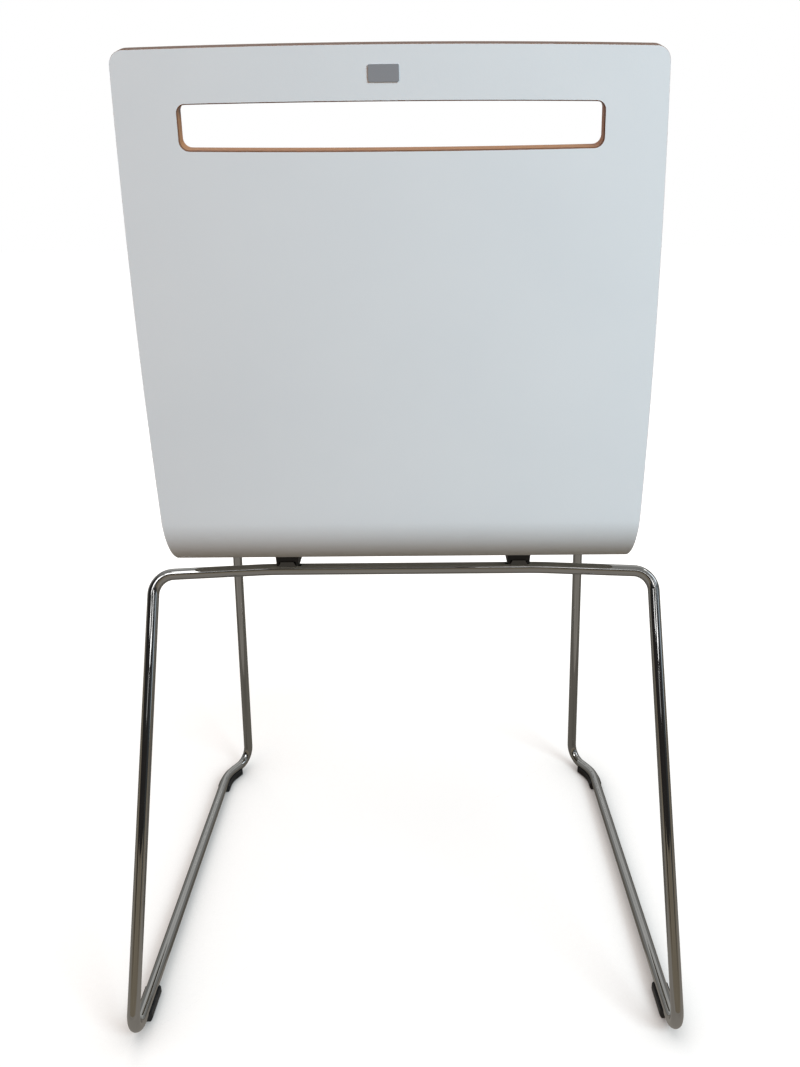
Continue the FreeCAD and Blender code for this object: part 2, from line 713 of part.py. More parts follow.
# Glides: moulded shoes that cradle the runner and key into it with a peg
def glide_section(body):
    """Cross-section of a glide, square to the runner: a flared sole under a groove for the rod."""
    sketch = sketch_on(body, "XZ_Plane", "section")
    groove = f"({ROD_RADIUS} + Sizes.rod_clearance)"
    mouth = f"sqrt({groove} ^ 2 - ({AXIS_HEIGHT} - Sizes.glide_side) ^ 2)"
    outline(sketch, [
        ("-Sizes.glide_sole_width / 2", "0"),
        ("Sizes.glide_sole_width / 2", "0"),
        ("Sizes.glide_width / 2", "Sizes.glide_flare"),
        ("Sizes.glide_width / 2", "Sizes.glide_side"),
        (mouth, "Sizes.glide_side", f"-{groove}"),
        (f"-{mouth}", "Sizes.glide_side"),
        ("-Sizes.glide_width / 2", "Sizes.glide_side"),
        ("-Sizes.glide_width / 2", "Sizes.glide_flare"),
    ])
    return sketch


def glide_path(body, side):
    """Way of the runner above a front glide: straight, round the jog's bend, and on along the jog."""
    sketch = sketch_on(body, "XY_Plane", "way")
    turn = jog_turn
    bend = size("jog_bend")
    tail = size("front_glide_tail")
    toe = size("front_glide_toe")
    end = Vector(-side * bend * (1 - math.cos(turn)), -tail - bend * math.sin(turn), 0)
    far = end + Vector(-side * math.sin(turn), -math.cos(turn), 0) * toe
    centre = Vector(-side * bend, -tail, 0)
    angles = (-turn, 0) if side > 0 else (math.pi, math.pi + turn)
    straight = sketch.addGeometry(Part.LineSegment(Vector(0, 0, 0), Vector(0, -tail, 0)))
    arc = sketch.addGeometry(Part.ArcOfCircle(Part.Circle(centre, Vector(0, 0, 1), bend), *angles))
    jog = sketch.addGeometry(Part.LineSegment(end, far))
    near, away = (2, 1) if side > 0 else (1, 2)
    sketch.addConstraint(Sketcher.Constraint("Coincident", straight, 1, -1, 1))
    sketch.addConstraint(Sketcher.Constraint("Vertical", straight))
    sketch.addConstraint(Sketcher.Constraint("Tangent", straight, 2, arc, near))
    sketch.addConstraint(Sketcher.Constraint("Tangent", arc, away, jog, 1))
    bind(sketch, "Sizes.front_glide_tail", "Distance", straight)
    bind(sketch, "Sizes.front_glide_toe", "Distance", jog)
    bind(sketch, "Sizes.jog_bend", "Radius", arc)
    bind(sketch, f"{JOG_TURN} / 1 deg", "Angle", arc)
    return sketch


def glide(end, side_name, side):
    """Rear glides are straight. Front glides follow the runner round the jog."""
    start = Vector(side * runner_x, glide_starts[end], 0)
    body = new_body(f"glide_{end}_{side_name}", Placement(start, Rotation()))
    section = glide_section(body)
    if end == "rear":
        extrude(body, "Pad", section, "Sizes.rear_glide_length")
    else:
        pipe = body.newObject("PartDesign::AdditivePipe", "Pipe")
        pipe.Profile = section
        pipe.Spine = (glide_path(body, side), [])
        doc.recompute()
    dress_corners(body, "Chamfer", "Sizes.glide_end_chamfer", Vector(0, 0, 1))
    peg = sketch_on(body, "XY_Plane", "peg", "Sizes.glide_sole / 2")
    inward, ahead = pegs[end]
    circle(peg, f"{side} * {inward}", ahead, "Sizes.peg_diameter / 2")
    extrude(body, "Pad", peg, "Sizes.glide_sole / 2 + Sizes.peg_height")
    return body


for end in ("rear", "front"):
    for side_name, side in (("left", 1), ("right", -1)):
        parts.append(glide(end, side_name, side))

doc.recompute()

# Check every object before any file is written
for item in doc.Objects:
    if any(state in ("Invalid", "Error") for state in item.State):
        raise RuntimeError(f"{item.Label} did not build: {item.State}")
for part in parts:
    if part.Shape.isNull() or not part.Shape.isValid():
        raise RuntimeError(f"{part.Label} has no valid shape")

os.makedirs("parts", exist_ok=True)
for part in parts:
    part.Shape.exportStep(f"parts/{part.Label}.step")
    print(part.Label, len(part.Shape.Solids), round(part.Shape.Volume), part.Shape.BoundBox)
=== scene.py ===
import math

import bpy
import numpy as np
from bpy.props import FloatProperty, FloatVectorProperty, PointerProperty, StringProperty
from mathutils import Matrix, Vector


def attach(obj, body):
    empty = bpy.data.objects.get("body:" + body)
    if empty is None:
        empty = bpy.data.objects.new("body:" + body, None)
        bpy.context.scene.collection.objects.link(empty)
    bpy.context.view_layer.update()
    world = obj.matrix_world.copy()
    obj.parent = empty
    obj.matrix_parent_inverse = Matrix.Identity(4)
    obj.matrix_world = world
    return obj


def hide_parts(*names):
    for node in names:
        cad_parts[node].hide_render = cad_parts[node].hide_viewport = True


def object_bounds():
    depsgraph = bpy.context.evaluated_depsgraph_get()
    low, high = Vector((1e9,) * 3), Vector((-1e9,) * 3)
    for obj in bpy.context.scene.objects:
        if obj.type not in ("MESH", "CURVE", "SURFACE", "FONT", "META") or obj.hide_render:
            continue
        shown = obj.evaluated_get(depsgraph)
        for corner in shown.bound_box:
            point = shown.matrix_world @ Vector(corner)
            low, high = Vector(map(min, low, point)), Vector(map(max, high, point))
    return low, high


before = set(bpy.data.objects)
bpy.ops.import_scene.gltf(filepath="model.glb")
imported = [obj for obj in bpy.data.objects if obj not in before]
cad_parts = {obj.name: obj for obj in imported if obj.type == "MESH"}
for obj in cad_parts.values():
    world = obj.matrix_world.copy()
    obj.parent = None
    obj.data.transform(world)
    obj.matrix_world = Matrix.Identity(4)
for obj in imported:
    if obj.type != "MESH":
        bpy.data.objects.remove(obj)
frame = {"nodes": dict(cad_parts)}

bl_info = {
    "name": "Sled base chair",
    "version": (1, 0, 0),
    "blender": (4, 5, 0),
    "location": "3D View > Sidebar > Chair",
    "description": "Moulded plywood shell on a bent chrome rod frame, with its finishes and a studio",
    "category": "Object",
}

CAD_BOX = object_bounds()
MM = 0.001
# Glide soles stand on the floor, which is the frame's lowest height
FLOOR_LEVEL = float(CAD_BOX[0][2])


def length(label, default, description):
    """A size in metres that the sidebar shows as a length."""
    return FloatProperty(name=label, default=default * MM, description=description, unit="LENGTH", precision=5)


def angle(label, default, description):
    """An angle given in degrees and kept in radians."""
    return FloatProperty(name=label, default=math.radians(default), description=description, subtype="ANGLE")


def colour(label, default, description):
    """An sRGB colour written as a hex value."""
    return StringProperty(name=label, default=default, description=description)


class ChairShell(bpy.types.PropertyGroup):
    """Sizes of the moulded shell, measured on its underside and rear face."""
    laminate: length("Laminate", 0.9, "Thickness of the laminate on each face")
    core: length("Core", 10.2, "Thickness of the plywood core")
    veneer: length("Veneer", 1.13, "Thickness of one veneer of the core")
    eased_edge: length("Eased edge", 0.8, "Radius of the sanded edge at the handle slot")
    rim_ease: FloatProperty(name="Rim ease", default=0.25, subtype="FACTOR", description="Share of that at the outline")
    seat_tilt: angle("Seat tilt", 3.5, "Fall of the seat to the rear")
    seat_run: length("Seat run", 284.505, "Flat seat ahead of the rear bar")
    front_width: length("Front width", 436, "Width of the seat at its front edge")
    width: length("Width", 445, "Width of the shell at its bend")
    front_corner: length("Front corner", 45, "Radius of the seat's front corners")
    fall_radius: length("Fall radius", 48, "Radius of the turned-down front edge")
    fall_angle: angle("Fall angle", 34, "Turn of the turned-down front edge")
    bend_start: length("Bend start", 1, "Start of the bend behind the rear bar")
    bend_radius: length("Bend radius", 69, "Radius of the bend between seat and back")
    lean: angle("Lean", 12, "Lean of the back at the bend")
    top_lean: angle("Top lean", 17, "Lean of the back at its top")
    back_length: length("Back length", 388, "Length of the back from the bend to its top")
    top_width: length("Top width", 385, "Width of the back at its top corners")
    side_bow: length("Side bow", 3.8, "Bow of the back's sides")
    top_bow: length("Top bow", 2.4, "Bow of the back's top edge")
    top_corner: length("Top corner", 11, "Radius of the back's top corners")
    slot_width: length("Slot width", 307, "Width of the handle slot at its bottom")
    slot_top_width: length("Slot top width", 302.6, "Width of the handle slot at its top")
    slot_height: length("Slot height", 32.2, "Height of the handle slot")
    slot_margin: length("Slot margin", 35.7, "Distance of the handle slot from the top")
    slot_bow: length("Slot bow", 1.2, "Bow of the handle slot's long edges")
    slot_corner: length("Slot corner", 6, "Radius of the handle slot's corners")


class ChairFrame(bpy.types.PropertyGroup):
    """Sizes of the bent rod frame, measured on the rod's axis."""
    rod: length("Rod", 12, "Diameter of the rod")
    axis_height: length("Axis height", 11, "Height of the runner's axis")
    runner_x: length("Runner", 259.5, "Distance of each runner from the middle")
    bar_y: length("Rear bar place", 50.037, "Place of the rear bar")
    bar_z: length("Rear bar height", 407, "Height of the rear bar")
    bar_spacing: length("Bar spacing", 270, "Distance between rear bar and front bar")
    bar_drop: length("Bar drop", 5.5, "Fall of each bar from its kink to its corner")
    kink_x: length("Kink", 139, "Distance of the bars' kinks from the middle")
    heel_y: length("Heel", 260.037, "Rearmost place of the rod's axis")
    foot_inset: length("Foot inset", 23.5, "Step of the front foot inside the runner")
    leg_splay: length("Leg splay", 6, "Step of the front leg's top inside its foot")
    foot_setback: length("Foot setback", 19, "Place of the front foot behind the front bar")
    jog: length("Jog", 41.5, "Length of the jog between runner and front foot")
    top_bend: length("Top bend", 21, "Bend radius between bar and leg")
    kink_bend: length("Kink bend", 600, "Bend radius of the bars' kinks")
    heel_bend: length("Heel bend", 16, "Bend radius between rear leg and runner")
    toe_bend: length("Toe bend", 22, "Bend radius between jog and front leg")
    jog_bend: length("Jog bend", 52, "Bend radius between runner and jog")
    mount_height: length("Mount height", 15, "Height of the shell over the bars")


class ChairFinishes(bpy.types.PropertyGroup):
    """Colours of the chair's finishes."""
    laminate: colour("Laminate", "#E7E5E2", "White laminate")
    laminate_shade: colour("Laminate shade", "#E1E0DE", "Clouding in the white laminate")
    ply_light: colour("Long grain", "#B1794B", "Veneers cut along the grain")
    ply_dark: colour("End grain", "#965E38", "Veneers cut across the grain")
    glue: colour("Glue line", "#53371F", "Glue between the veneers")
    # Painted shade: a darker tone laid along the shell's top edge, standing in for the shade there
    painted_top_shade: colour("Worn edge", "#46332D", "Lacquer that hands have darkened along the top")
    kraft: colour("Kraft", "#83583F", "Kraft paper in the laminate's cut edge")
    resin: colour("Resin", "#62412D", "Resin in the laminate's cut edge")
    chrome: colour("Chrome", "#C9C9C8", "Bright chrome plate")
    tab: colour("Tab", "#6A6967", "Chrome plate on the stamped tabs, dull next to the weld")
    nylon: colour("Nylon", "#161617", "Black moulded nylon")
    nylon_dust: colour("Dust", "#3A3936", "Dust in the nylon's grain")
    zinc: colour("Zinc", "#A9ABA8", "Zinc plated steel")
    plate: colour("Plate", "#B5B7BC", "Satin grey plate")


class ChairStage(bpy.types.PropertyGroup):
    """Camera, floor and light."""
    camera_place: FloatVectorProperty(name="Camera", default=(-0.019173, 0.887796, 0.736452), subtype="TRANSLATION",
                                      precision=5, description="Place of the camera")
    heading: angle("Heading", 179.859, "Turn of the camera from the front")
    pitch: angle("Pitch", 19.351, "Fall of the camera's view")
    roll: angle("Roll", -0.512, "Turn of the camera about its view")
    lens: FloatProperty(name="Lens", default=29.2103, unit="CAMERA", description="Focal length on a 36 mm high frame")
    shift: FloatVectorProperty(name="Shift", size=2, default=(-0.018168, 0.002561), precision=5,
                               description="Shift of the picture, in frame heights")
    floor: colour("Floor", "#9E968F", "White paper floor as it is seen")
    floor_bounce: colour("Floor bounce", "#6E675C", "The floor in the light that it throws back")
    floor_glow: FloatProperty(name="Floor glow", default=0.70, description="Own light of the floor near the chair")
    contact_reach: length("Contact reach", 260, "How far the feet shade the floor")
    contact_depth: FloatProperty(name="Contact depth", default=1.6, description="Power that deepens the feet's shade")


class ChairSettings(bpy.types.PropertyGroup):
    """All settings of the chair."""
    shell: PointerProperty(type=ChairShell)
    frame: PointerProperty(type=ChairFrame)
    finishes: PointerProperty(type=ChairFinishes)
    stage: PointerProperty(type=ChairStage)


# Meshes
def new_piece(name, verts, faces, material, sharp=30.0):
    """Mesh object at the origin from points and quads, smooth except at edges sharper than an angle."""
    mesh = bpy.data.meshes.new(name)
    verts = np.asarray(verts, float)
    used = np.unique(faces)
    order = np.zeros(len(verts), int)
    order[used] = np.arange(len(used))
    mesh.from_pydata(verts[used].tolist(), [], order[faces].tolist())
    mesh.polygons.foreach_set("use_smooth", np.ones(len(mesh.polygons), bool))
    mesh.set_sharp_from_angle(angle=math.radians(sharp))
    mesh.materials.append(material)
    mesh.update()
    piece = bpy.data.objects.new(name, mesh)
    bpy.context.scene.collection.objects.link(piece)
    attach(piece, "root")
    return piece, used


def grid_quads(rows, columns):
    """Quads of a grid of points stored row by row."""
    first = np.arange(rows - 1)[:, None] * columns + np.arange(columns - 1)[None, :]
    return np.stack([first, first + 1, first + columns + 1, first + columns], -1)


# Shell
FRONT_STEPS, SEAT_STEPS, BEND_STEPS, BACK_STEPS = 14, 12, 28, 22
SLOT_CORNER_STEPS, SLOT_SIDE_STEPS, HEAD_STEPS, TOP_STEPS = 6, 5, 5, 9
SIDE_COLUMNS, MIDDLE_COLUMNS = 8, 26
# Passes that bring the top corner's centre to rest, and the slot's share of the lean that the top gains
CORNER_PASSES, SLOT_LEAN = 20, 0.7


def arc_through(a, b, radius):
    """Centre of the circle of a radius through points a and b, on the left of the way from a to b."""
    chord = b - a
    reach = np.hypot(*chord)
    left = np.array([-chord[1], chord[0]]) / reach
    return (a + b) / 2 + left * math.sqrt(radius ** 2 - (reach / 2) ** 2)


class ShellForm:
    """The shell as points of depth, way along its line and place across it.

    The line in side view is an arc for the turned-down front, a straight seat, an arc for the bend and a wide arc
    for the back. Depth is measured square to it, from the underside and rear face towards the sitter. The front is
    trimmed square to its lip and the back square to its middle slope."""

    def __init__(self, shell, rod):
        self.s = shell
        tilt = shell.seat_tilt
        self.rearward = np.array([math.cos(tilt), -math.sin(tilt)])
        self.upward = np.array([math.sin(tilt), math.cos(tilt)])
        self.foot = np.array([rod.bar_y, rod.bar_z]) + self.upward * (rod.rod / 2 + rod.mount_height)
        self.bend_centre = self.foot + self.rearward * shell.bend_start + self.upward * shell.bend_radius
        self.curl = shell.back_length / (shell.top_lean - shell.lean)
        self.slope = (shell.lean + shell.top_lean) / 2
        self.swing = (shell.top_lean - shell.lean) / 2
        behind = np.array([math.cos(shell.lean), -math.sin(shell.lean)])
        self.curl_centre = self.bend_centre + behind * (shell.bend_radius + self.curl)
        self.back_foot = self.bend_centre + behind * shell.bend_radius
        lip = np.array([-shell.seat_run - shell.fall_radius * math.sin(shell.fall_angle),
                        shell.fall_radius * (math.cos(shell.fall_angle) - 1)])
        self.lip = self.foot + self.rearward * lip[0] + self.upward * lip[1]
        turn = shell.fall_angle - tilt
        self.lip_way = np.array([math.cos(turn), math.sin(turn)])
        self.back_way = np.array([math.sin(self.slope), math.cos(self.slope)])
        # Bowed side and top of the back, and the centre of the corner between them
        half, top_half = shell.width / 2, shell.top_width / 2
        self.side_top = shell.back_length - shell.top_bow
        self.side_radius = shell.back_length ** 2 / (8 * shell.side_bow) + shell.side_bow / 2
        self.side_centre = arc_through(np.array([half, 0]), np.array([top_half, self.side_top]), self.side_radius)
        self.top_radius = shell.top_width ** 2 / (8 * shell.top_bow) + shell.top_bow / 2
        self.top_centre = shell.back_length - self.top_radius
        x, z = top_half, self.side_top
        for _ in range(CORNER_PASSES):
            x = self.side_centre[0] + math.sqrt((self.side_radius - shell.top_corner) ** 2
                                                - (z - self.side_centre[1]) ** 2)
            z = self.top_centre + math.sqrt((self.top_radius - shell.top_corner) ** 2 - x ** 2)
        self.corner = np.array([x, z])
        self.slot_foot = shell.back_length - shell.slot_margin - shell.slot_height + shell.slot_bow
        self.slot_head = shell.back_length - shell.slot_margin - shell.slot_bow
        self.slot_flat = (shell.slot_width + shell.slot_top_width) / 4 - shell.slot_corner
        self.slot_taper = (shell.slot_width - shell.slot_top_width) / 2 / (self.slot_head - self.slot_foot)
        self.thickness = 2 * shell.laminate + shell.core

    def side(self, y, z):
        """Half width at a place in side view: the lesser of the seat's tapered side and the back's bowed side."""
        s = self.s
        ahead = (y - self.lip[0]) * self.lip_way[0] + (z - self.lip[1]) * self.lip_way[1]
        taper = np.clip(ahead / s.seat_run, 0, 1)
        seat = (s.front_width + (s.width - s.front_width) * taper) / 2
        height = (y - self.back_foot[0]) * self.back_way[0] + (z - self.back_foot[1]) * self.back_way[1]
        return np.minimum(seat, self.back_side(height))

    def back_side(self, height):
        """Half width of the back at a height: a circle's arc above the bend, and upright below it."""
        rise = np.maximum(height, 0)
        bow = self.side_centre[0] + np.sqrt(self.side_radius ** 2 - (rise - self.side_centre[1]) ** 2)
        return np.minimum(bow, self.s.width / 2)

    def top_edge(self, x):
        """Height of the bowed top edge across the back: a circle's arc."""
        return self.top_centre + np.sqrt(self.top_radius ** 2 - x ** 2)

    def slot_edge(self, x):
        """Rise of the slot's bowed long edge across it: a parabola, zero at the slot's ends."""
        return self.s.slot_bow * np.maximum(0, 1 - (2 * x / self.s.slot_width) ** 2)

    def on_back(self, height, depth):
        """Side view place on the back at a height along its middle slope, on the wide arc moved in by the depth."""
        sine = (height - self.curl * math.sin(self.swing)) / (self.curl + depth)
        lean = self.slope + np.arcsin(sine)
        reach = self.curl + depth
        return self.curl_centre[0] - reach * np.cos(lean), self.curl_centre[1] + reach * np.sin(lean)

    def on_front(self, ahead, depth):
        """Side view place behind the lip by a distance square to it: on the front's arc, then on the flat seat."""
        s = self.s
        reach = s.fall_radius + depth
        end = reach * math.sin(s.fall_angle)
        turn = s.fall_angle - np.arcsin(np.minimum(ahead, end) / reach)
        flat = np.maximum(ahead - end, 0) / math.cos(s.fall_angle)
        along = -s.seat_run - reach * np.sin(turn) + flat
        above = -s.fall_radius + reach * np.cos(turn)
        return self.seat_place(along, above)

    def seat_place(self, along, above):
        """Side view place from the way along the seat and the height square to it."""
        y = self.foot[0] + self.rearward[0] * along + self.upward[0] * above
        z = self.foot[1] + self.rearward[1] * along + self.upward[1] * above
        return y, z

    def sheet(self, depth, inset):
        """Grid of points at a depth, drawn in from the outline and the slot by an inset.

        Rows run from the front lip to the top edge. Each row spreads its columns from the left side to the slot's
        flat, across it and on to the right side, so the slot is a block of missing quads. The outline is drawn in by
        a share of the inset."""
        s = self.s
        side_inset = inset * s.rim_ease
        ramp = np.linspace(0, 1, SIDE_COLUMNS + 1)
        middle = np.linspace(-1, 1, MIDDLE_COLUMNS + 1)[1:-1]

        def columns(half, flat):
            """Even steps across from the left side to the slot's flat, over it, and on to the right side."""
            half, flat = np.broadcast_arrays(half, flat)
            left = -half[:, None] + (half - flat)[:, None] * ramp
            return np.concatenate([left, flat[:, None] * middle, -left[:, ::-1]], 1)

        flat = self.slot_flat
        # Round front corners, then the flat seat
        turn = np.linspace(0, math.pi / 2, FRONT_STEPS + 1)
        corner = s.front_corner - side_inset
        ahead = s.front_corner - corner * np.cos(turn)
        y, z = self.on_front(ahead, depth)
        centre = self.side(*self.on_front(np.array([s.front_corner]), depth))[0] - s.front_corner
        front_x = columns(centre + corner * np.sin(turn), flat)
        fallen = (s.fall_radius + depth) * math.sin(s.fall_angle)
        last = -s.seat_run + (s.front_corner - fallen) / math.cos(s.fall_angle)
        along = last + (s.bend_start - last) * np.linspace(0, 1, SEAT_STEPS + 1)[1:]
        seat_y, seat_z = self.seat_place(along, np.full_like(along, depth))
        # Bend, its radius drawn in by the depth
        around = np.linspace(0, math.pi / 2 - s.lean + s.seat_tilt, BEND_STEPS + 1)[1:]
        reach = s.bend_radius - depth
        bend_y, bend_z = self.seat_place(s.bend_start + reach * np.sin(around), s.bend_radius - reach * np.cos(around))
        low_y, low_z = np.r_[seat_y, bend_y], np.r_[seat_z, bend_z]
        low_x = columns(self.side(low_y, low_z) - side_inset, flat)
        y = np.r_[y, low_y][:, None] + 0 * np.r_[front_x, low_x]
        z = np.r_[z, low_z][:, None] + 0 * np.r_[front_x, low_x]
        under = np.stack([np.r_[front_x, low_x], y, z], -1)
        # Heights of the back's rows, each with the slot's flat or side there and its share of the bowed edges
        notch = s.slot_corner + inset
        foot = self.slot_foot - self.slot_edge(flat) + s.slot_corner
        head = self.slot_head + self.slot_edge(flat) - s.slot_corner
        quarter = np.linspace(0, math.pi / 2, SLOT_CORNER_STEPS + 1)
        start = -math.sin(self.swing) * depth
        back = np.linspace(start, foot - notch, BACK_STEPS + 1)[1:]
        side = np.linspace(foot, head, SLOT_SIDE_STEPS + 1)[1:-1]
        slot = np.r_[foot - notch * np.cos(quarter)[1:], side, head + notch * np.sin(quarter)[:-1]]
        slot_half = np.r_[flat + notch * np.sin(quarter)[1:], np.full(len(side), flat + notch),
                          flat + notch * np.cos(quarter)[:-1]]
        top_corner = s.top_corner - side_inset
        side_turn = math.asin((self.corner[1] - self.side_centre[1]) / (self.side_radius - s.top_corner))
        top_turn = math.acos(self.corner[0] / (self.top_radius - s.top_corner))
        sweep = np.linspace(side_turn, top_turn, TOP_STEPS + 1)
        crown = self.corner[1] + top_corner * np.sin(sweep)
        crown_half = self.corner[0] + top_corner * np.cos(sweep)
        over = np.linspace(head + notch, crown[0], HEAD_STEPS + 1)[:-1]
        rows = np.r_[back, slot, over, crown]
        half = np.r_[self.back_side(np.r_[back, slot, over]) - side_inset, crown_half]
        gap = np.full(len(rows), flat)
        gap[len(back):len(back) + len(slot)] = slot_half
        gap -= self.slot_taper * (np.clip(rows, foot, head) - (foot + head) / 2)
        x = columns(half, gap)
        bend_share = np.interp(rows, [start, foot - notch], [0, 1])
        slot_share = np.interp(rows, [foot - notch, head + notch, crown[-1]], [-1, 1, 0])
        share = np.where(rows < foot - notch, -bend_share, slot_share)
        top_share = np.interp(rows, [head + notch, crown[-1]], [0, 1])
        lift = (self.slot_edge(x) - self.slot_edge(flat)) * share[:, None]
        lift = np.where(np.abs(x) < gap[:, None], lift, 0)
        lift += (self.top_edge(x) - self.top_edge(half)[:, None]) * top_share[:, None]
        # The slot's walls and the top are cut square to the back there, which leans more than at its middle
        lift += np.interp(rows, [start, foot, crown[-1]], [0, self.swing * SLOT_LEAN, self.swing])[:, None] * (
            depth - self.thickness)
        y, z = self.on_back(rows[:, None] + lift, depth)
        points = np.concatenate([under, np.stack([x, y, z], -1)])
        self.slot_rows = (len(under) + len(back) - 1, len(under) + len(back) + len(slot))
        return points

    def quads(self, rows, columns):
        """Quads of a sheet, without those of the slot."""
        quads = grid_quads(rows, columns)
        keep = np.ones(quads.shape[:2], bool)
        first, last = self.slot_rows
        keep[first:last, SIDE_COLUMNS:columns - 1 - SIDE_COLUMNS] = False
        return quads[keep]

    def layer(self, levels):
        """Closed layer through levels of depth and inset: the first and last sheets, and walls between all levels."""
        sheets = [self.sheet(depth, inset) for depth, inset in levels]
        rows, columns = sheets[0].shape[:2]
        quads = self.quads(rows, columns)
        edges = np.concatenate([quads[:, [k, (k + 1) % 4]] for k in range(4)])
        key = np.sort(edges, 1)
        _, index, count = np.unique(key, axis=0, return_index=True, return_counts=True)
        rim = edges[index[count == 1]]
        size = rows * columns
        wall = np.c_[rim[:, ::-1], rim + size]
        walls = [wall + k * size for k in range(len(sheets) - 1)]
        # The first sheet faces away from the sitter, so its quads run the other way round
        first, last = quads[:, ::-1], quads + (len(sheets) - 1) * size
        faces = np.concatenate([first, last, *walls])
        points = np.concatenate([sheet.reshape(-1, 3) for sheet in sheets])
        depths = np.repeat([depth for depth, _ in levels], size)
        rims = np.arange(len(faces)) >= 2 * len(quads)
        return points, faces, depths, rims


def eased(face, inward, radius, steps=4):
    """Levels of a laminate's sanded edge: a quarter circle from its face to its wall."""
    turn = np.linspace(0, math.pi / 2, steps + 1)
    return [(face + inward * radius * (1 - math.cos(t)), radius * (1 - math.sin(t))) for t in turn]


# Rod frame
ROD_STEP = 20 * MM


def rounded_way(points, radii, steps=12):
    """Points along straight runs with rounded corners: each corner is a circle's arc tangent to both of its runs."""
    way = [points[0]]
    for before, corner, after, radius in zip(points, points[1:], points[2:], radii):
        into = (corner - before) / np.linalg.norm(corner - before)
        out = (after - corner) / np.linalg.norm(after - corner)
        turn = math.acos(np.clip(into @ out, -1, 1))
        inward = (out - into) / np.linalg.norm(out - into)
        centre = corner + inward * radius / math.cos(turn / 2)
        t = np.linspace(-turn / 2, turn / 2, steps + 1)[:, None]
        ahead = (into + out) / np.linalg.norm(into + out)
        way.extend(centre + radius * (np.sin(t) * ahead - np.cos(t) * inward))
    way.append(points[-1])
    return np.array(way)


def split_runs(way, step):
    """The same way with its long runs divided evenly."""
    out = [way[:1]]
    for a, b in zip(way, way[1:]):
        parts = max(1, int(np.ceil(np.linalg.norm(b - a) / step)))
        out.append(a + (b - a) * np.linspace(0, 1, parts + 1)[1:, None])
    return np.concatenate(out)


def tube(way, radius, around=28):
    """Round section carried along a way, each ring square to the mean of its two runs and turned least from the last.
    The ends are closed by strips of quads. The third value is each point's place on the rod laid straight."""
    runs = np.diff(way, axis=0)
    runs /= np.linalg.norm(runs, axis=1)[:, None]
    tangents = np.concatenate([runs[:1], runs[:-1] + runs[1:], runs[-1:]])
    tangents /= np.linalg.norm(tangents, axis=1)[:, None]
    side = np.array([0.0, 0.0, 1.0])
    rings = []
    turn = np.linspace(0, 2 * math.pi, around, endpoint=False)
    for place, tangent in zip(way, tangents):
        side = side - tangent * (side @ tangent)
        side /= np.linalg.norm(side)
        up = np.cross(tangent, side)
        rings.append(place + radius * (np.cos(turn)[:, None] * side + np.sin(turn)[:, None] * up))
    points = np.concatenate(rings)
    count = len(way)
    first = np.arange(count - 1)[:, None] * around
    now, after = np.arange(around), (np.arange(around) + 1) % around
    faces = np.stack([first + now, first + after, first + around + after, first + around + now], -1).reshape(-1, 4)
    k = np.arange(around // 2 - 1)
    cap = np.stack([k, k + 1, around - 2 - k, around - 1 - k], -1)
    faces = np.concatenate([faces, cap[:, ::-1], cap + (count - 1) * around])
    along = np.r_[0, np.cumsum(np.linalg.norm(np.diff(way, axis=0), axis=1))]
    laid = np.stack([np.tile(radius * np.cos(turn), count), np.tile(radius * np.sin(turn), count),
                     np.repeat(along, around)], -1)
    return points, faces, laid


def rod_points(rod):
    """Corners of the left half of the rod frame, from the middle of the rear bar to the middle of the front bar."""
    tilt = bpy.context.scene.sled_chair.shell.seat_tilt
    rear = np.array([0, rod.bar_y, rod.bar_z])
    front = rear + np.array([0, -rod.bar_spacing, rod.bar_spacing * math.tan(tilt)])
    drop = np.array([0, 0, -rod.bar_drop])
    foot_x = rod.runner_x - rod.foot_inset
    foot_y = front[1] + rod.foot_setback
    rear_top = rear + drop + np.array([rod.runner_x, 0, 0])
    ahead = rod.heel_y - rod.heel_bend - rear_top[1]
    above = rear_top[2] - rod.axis_height - rod.heel_bend
    slope = math.atan2(above, ahead) - math.asin(rod.heel_bend / math.hypot(ahead, above))
    heel = rear_top[1] + (rear_top[2] - rod.axis_height) / math.tan(slope)
    return np.array([
        rear,
        rear + np.array([rod.kink_x, 0, 0]),
        rear_top,
        [rod.runner_x, heel, rod.axis_height],
        [rod.runner_x, foot_y + rod.jog, rod.axis_height],
        [foot_x, foot_y, rod.axis_height],
        front + drop + np.array([foot_x - rod.leg_splay, 0, 0]),
        front + np.array([rod.kink_x, 0, 0]),
        front,
    ])


# Materials
def linear(value):
    """Linear colour of an sRGB hex value: the sRGB curve undone for each channel."""
    parts = [int(value[k:k + 2], 16) / 255 for k in (1, 3, 5)]
    return [c / 12.92 if c <= 0.04045 else ((c + 0.055) / 1.055) ** 2.4 for c in parts] + [1.0]


def add_node(tree, kind, inputs=None, **settings):
    """Node of a kind with its settings, its inputs set to values or linked to sockets."""
    node = tree.nodes.new("ShaderNode" + kind)
    for name, value in settings.items():
        setattr(node, name, value)
    for name, value in (inputs or {}).items():
        if isinstance(value, bpy.types.NodeSocket):
            tree.links.new(value, node.inputs[name])
        else:
            node.inputs[name].default_value = value
    return node


def new_material(name):
    """Material with an empty node tree."""
    material = bpy.data.materials.new(name)
    material.use_nodes = True
    material.node_tree.nodes.clear()
    return material, material.node_tree


def put_on(nodes, material):
    """Gives CAD nodes a material."""
    for name in nodes:
        slots = frame["nodes"][name].data.materials
        slots.clear()
        slots.append(material)


